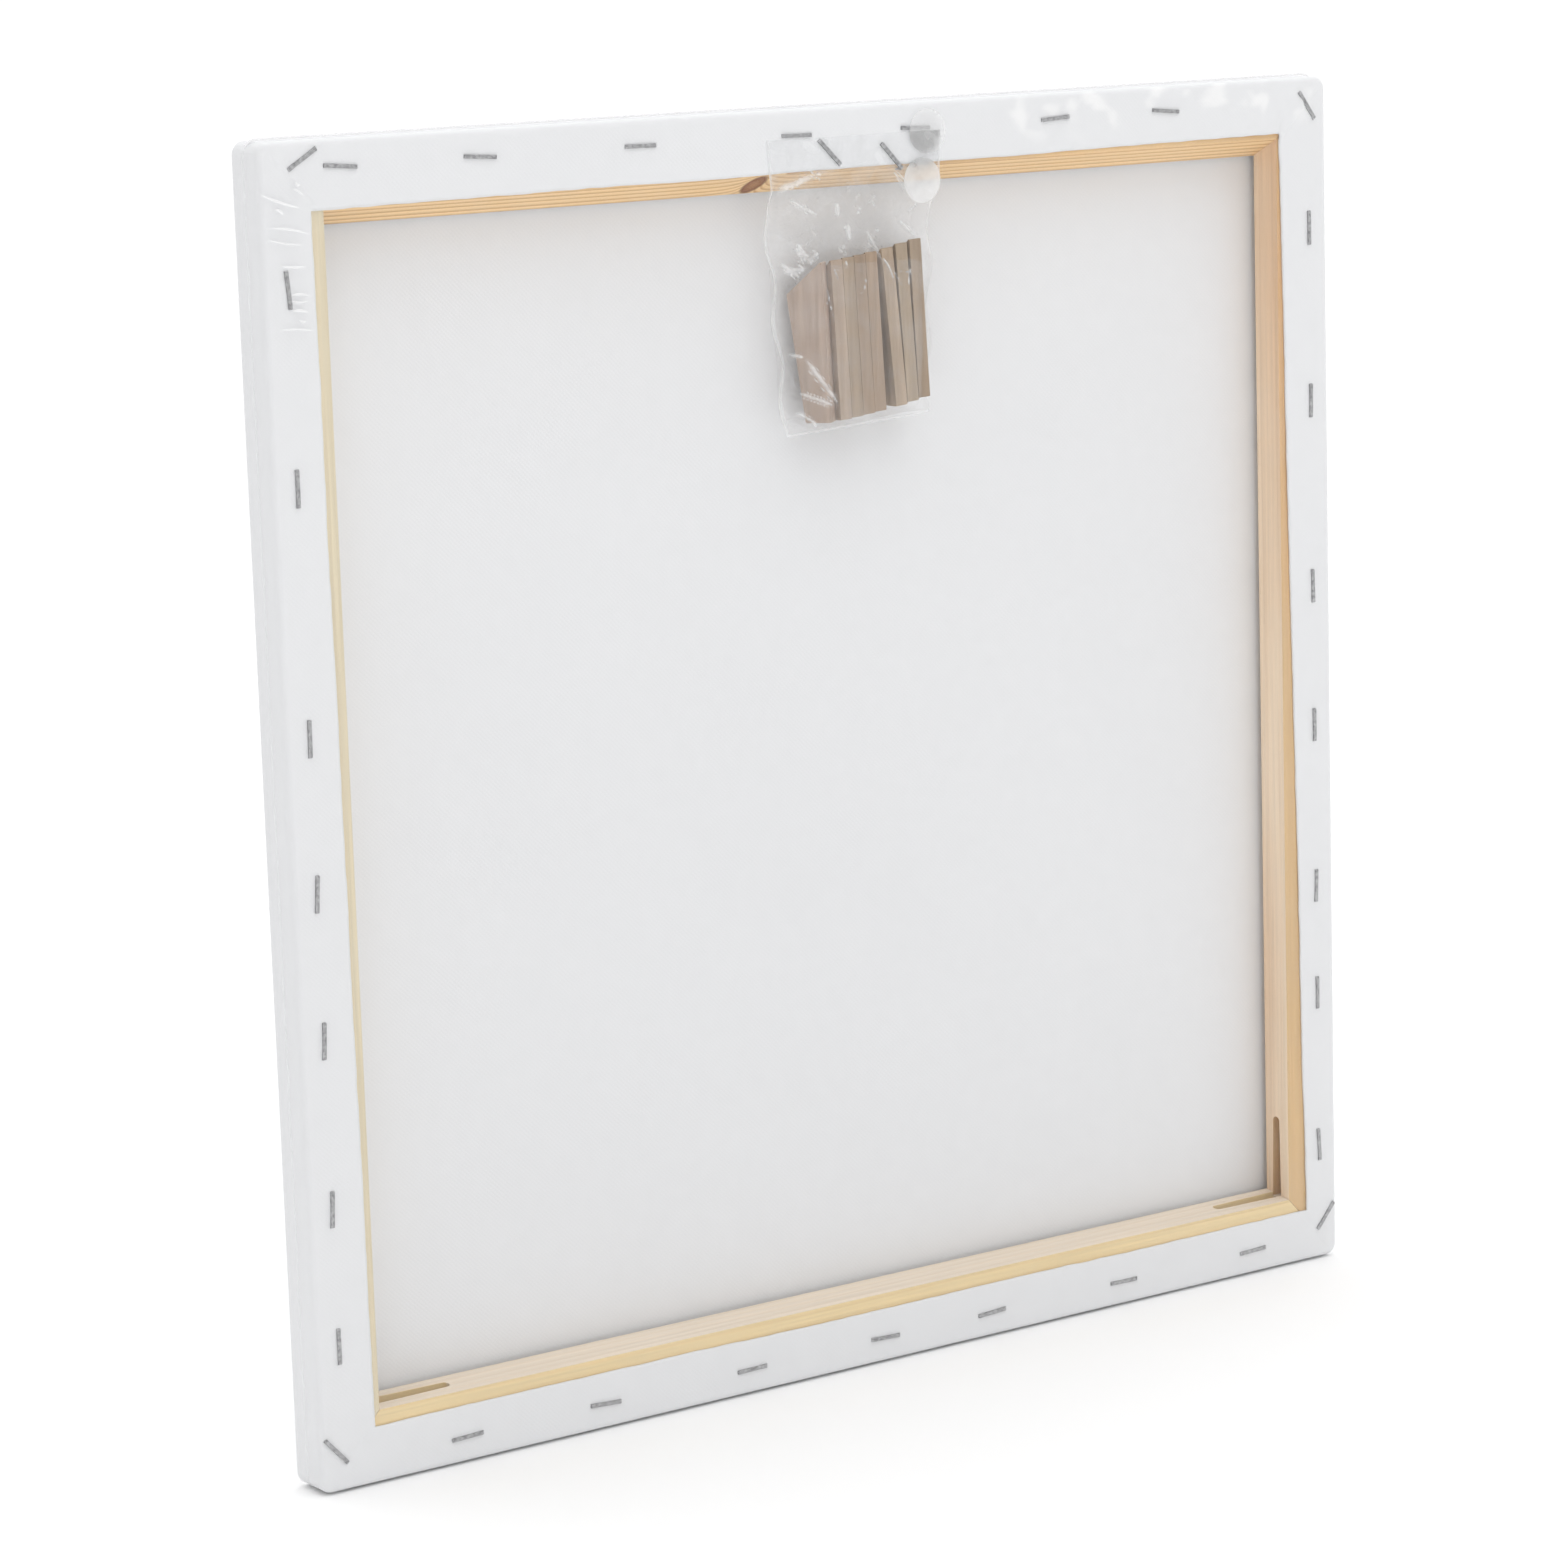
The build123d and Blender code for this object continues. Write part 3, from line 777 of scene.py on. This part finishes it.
def bag_sheet(u, v, front):
    """Points of one side of the bag; u runs from its left to its right edge and v from its top down."""
    top_left, top_right, low_left, low_right = (np.array(c) * MM for c in BAG_CORNERS)
    u, v = u[:, None], v[:, None]
    flat = (1 - v) * ((1 - u) * top_left + u * top_right) + v * ((1 - u) * low_left + u * low_right)
    x, z = flat[:, 0].copy(), flat[:, 1].copy()
    u, v = u[:, 0], v[:, 0]
    edge = 1 - np.abs(2 * u - 1) ** 10
    z_mm = z / MM
    in_recess = 1 - smooth(*INTO_RECESS, z_mm)
    over_keys = smooth(*OVER_KEYS, z_mm)
    at_bottom = smooth(*AT_BOTTOM, z_mm)
    side_y = back_y + 0.2 * MM - edge_sunk * in_recess
    if front:
        sunk = back_y + 0.25 * MM - front_sunk * in_recess * (1 - over_keys)
        folds = tents(x, z, BAG_FOLDS) + tents(x, z, random_folds(*FRONT_CREASES))
        face_y = sunk + np.clip(folds, -0.5 * MM, 0.65 * MM)
        face_y = np.minimum(face_y, film_high.y - 0.12 * MM)
    else:
        sunk = back_y + 0.1 * MM - back_sunk * in_recess - keys_sunk * over_keys
        face_y = sunk + tents(x, z, random_folds(*BACK_CREASES))
    spread = edge * (1 - at_bottom)
    y = side_y + (face_y - side_y) * spread
    tuck = 1.2 * MM * np.sin(v * 23) * (1 - edge) * in_recess
    return np.column_stack([x + tuck, y, z])


def bag_haze_and_highlights(part, u, v):
    """Where a sheet of the bag is made milky white: painted highlights at sharp bends and along the creases,
    and real haze round its rim.
    """
    surface = part[:, 1].reshape(BAG_ROWS, BAG_COLUMNS)
    bend = np.zeros_like(surface)
    bend[1:-1, 1:-1] = np.abs(4 * surface[1:-1, 1:-1] - surface[:-2, 1:-1] - surface[2:, 1:-1]
                              - surface[1:-1, :-2] - surface[1:-1, 2:]) / bag_spacing
    inside = smooth(0.02, 0.06, u) * smooth(0.98, 0.94, u) * smooth(1, 0.97, v)
    # Painted highlights: sharp bends and the listed creases are made milky white where their shine would be
    # seen.
    bend_highlight = smooth(0.35, 1.2, bend) * inside
    fold_highlight = np.clip(tents(part[:, 0], part[:, 2], BAG_FOLDS) / (0.8 * MM), 0, 1)
    fold_highlight = fold_highlight ** 1.5 * np.clip(0.7 + 0.6 * rolling(part, 2.5 * MM, 21), 0, 1)
    bend_highlight = np.maximum(bend_highlight, 0.85 * fold_highlight.reshape(BAG_ROWS, BAG_COLUMNS) * inside)
    rim = smooth(0.02, 0.0, np.minimum(u, 1 - u)) + smooth(0.985, 1.0, v)
    return (0.75 * bend_highlight + 0.35 * rim).ravel()


def make_bag():
    """A thin lay-flat bag: a front and a back sheet that meet at the sides and the bottom."""
    v, u = np.meshgrid(np.linspace(0, 1, BAG_ROWS), np.linspace(0, 1, BAG_COLUMNS), indexing="ij")
    points, faces, haze_and_highlight = [], [], []
    for front in (True, False):
        part = bag_sheet(u.ravel(), v.ravel(), front)
        quads = grid_faces(BAG_ROWS, BAG_COLUMNS, sum(len(p) for p in points))
        faces += quads if front else [tuple(reversed(q)) for q in quads]
        # The back sheet gets weaker painted highlights than the front.
        haze_and_highlight.append(bag_haze_and_highlights(part, u, v) * (1.0 if front else 0.4))
        points.append(part)
    piece = mesh_object("key_bag_film", np.concatenate(points), faces, {"haze_and_highlight": np.concatenate(haze_and_highlight)})
    piece.data.materials.append(clear_material("polythene", (0.93, 0.94, 0.95), 0.11, 0.8, 0.1, 120))
    return piece


# ---------------------------------------------------------------- CAD nodes that keep their shape

# What pine_material takes for each bar; knot is in millimetres and pith in metres
PINE = {
    "bar_top": dict(along=0, back=(0.92, 0.66, 0.36), inner=(0.80, 0.60, 0.40), line=(0.47, 0.21, 0.07),
                    ring=2.2, strength=0.9, pith=(0, 0.08, 0.36), turn=(0.15, 0.35),
                    knot=(25.0, 377.8, 8.0, 6.4)),
    "bar_bottom": dict(along=0, back=(0.88, 0.70, 0.41), inner=(0.84, 0.73, 0.60), line=(0.66, 0.43, 0.19),
                       ring=2.6, strength=0.5, pith=(0, -0.05, 0.06)),
    "bar_left": dict(along=2, back=(0.77, 0.68, 0.50), inner=(0.80, 0.70, 0.55), line=(0.66, 0.52, 0.32),
                     ring=2.2, strength=0.45, pith=(0.25, 0.03, 0)),
    # The right bar's inner colour is set light to paint in the light falling on that face.
    "bar_right": dict(along=2, back=(0.72, 0.50, 0.27), inner=(0.97, 0.78, 0.58), line=(0.62, 0.38, 0.20),
                      ring=3.0, strength=0.5, pith=(-0.26, 0.05, 0), warm=(0.70, 0.40, 0.20)),
}

KEY_TONES = (
    (0.47, 0.36, 0.29), (0.45, 0.35, 0.27), (0.43, 0.33, 0.24), (0.40, 0.30, 0.22),
    (0.38, 0.28, 0.20), (0.44, 0.34, 0.25), (0.42, 0.33, 0.24), (0.38, 0.29, 0.21),
)


def dress(node, material):
    """Gives a CAD node its finish and leaves its shape alone."""
    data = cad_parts[node].data
    data.materials.clear()
    data.materials.append(material)


def dress_cad_nodes():
    """Wood for the bars and keys, wire for the staples, hazy clear plastic for the discs."""
    for node, finish in PINE.items():
        dress(node, pine_material(f"pine_{node}", **finish))
    for number, tone in enumerate(KEY_TONES, start=1):
        dress(f"key_{number}", key_material(f"key_wood_{number}", tone, number))
    steel = steel_material()
    for node in STAPLE_NODES:
        dress(node, steel)
    dress("clear_discs", clear_material("clear_disc", (0.98, 0.98, 0.98), 0.36, 0.0, 0.35, 60, 0.0))


# ---------------------------------------------------------------- stage

# The camera's place, its turn in degrees and its focal length in millimetres, fitted to the photo's view
CAMERA_PLACE = (0.88478, 1.24467, 0.46963)
CAMERA_TURN = (79.594, 1.728, 144.892)
CAMERA_LENS, SENSOR_WIDTH = 113.37, 36

floor_size, floor_gap = 90, 0.4 * MM


def make_floor():
    """A wide, pale, matt floor just under the canvas."""
    bpy.ops.mesh.primitive_plane_add(size=floor_size, location=(0, 0, -floor_gap))
    floor = bpy.context.object
    floor.name = "floor"
    material, _, shader = new_material("floor")
    shader.inputs["Base Color"].default_value = (0.97, 0.97, 0.97, 1)
    shader.inputs["Roughness"].default_value = 0.9
    shader.inputs["Specular IOR Level"].default_value = 0.0
    floor.data.materials.append(material)


def make_surround():
    """A white surround, brighter overhead and dimmer toward +X and on the camera's side, +Y."""
    world = bpy.data.worlds.new("studio")
    world.use_nodes = True
    bpy.context.scene.world = world
    t = Tree(world.node_tree)
    direction = t.parts(t.add("ShaderNodeTexCoord").outputs["Generated"])
    near = t.ranged(direction[1], (-0.4, 0.6), (1.0, 0.70))
    left = t.ranged(direction[0], (0.3, 1.0), (1.0, 0.56))
    up = t.ranged(direction[2], (0.5, 1.0), (1.0, 1.8))
    background = world.node_tree.nodes["Background"]
    t.link(t.maths("MULTIPLY", t.maths("MULTIPLY", near, left), up), background.inputs["Strength"])
    background.inputs["Color"].default_value = (1, 1, 1, 1)


def soft_box(name, place, size, power):
    """A square area light aimed at the middle of the canvas."""
    light = bpy.data.lights.new(name, "AREA")
    light.size = size
    light.energy = power
    lamp = bpy.data.objects.new(name, light)
    bpy.context.scene.collection.objects.link(lamp)
    lamp.location = place
    aim = Vector((0, 0, middle_z)) - lamp.location
    lamp.rotation_euler = aim.to_track_quat("-Z", "Y").to_euler()


def make_camera():
    """A long lens from behind the canvas, above its middle and well round to its left."""
    camera = bpy.data.objects.new("camera", bpy.data.cameras.new("camera"))
    bpy.context.scene.collection.objects.link(camera)
    camera.location = CAMERA_PLACE
    camera.rotation_euler = [math.radians(a) for a in CAMERA_TURN]
    camera.data.lens = CAMERA_LENS
    camera.data.sensor_width = SENSOR_WIDTH
    bpy.context.scene.camera = camera


# ---------------------------------------------------------------- the whole

make_camera()
make_floor()
make_surround()
soft_box("top_box", (-0.1, 1.15, 2.1), 1.3, 6)
dress_cad_nodes()

canvas = make_canvas()
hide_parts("canvas")
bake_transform(canvas)

film = make_film()
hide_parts("shrink_film")
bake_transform(film)

bag = make_bag()
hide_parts("key_bag")
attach(bag, UPPER)

bpy.context.scene.view_settings.view_transform = "Standard"
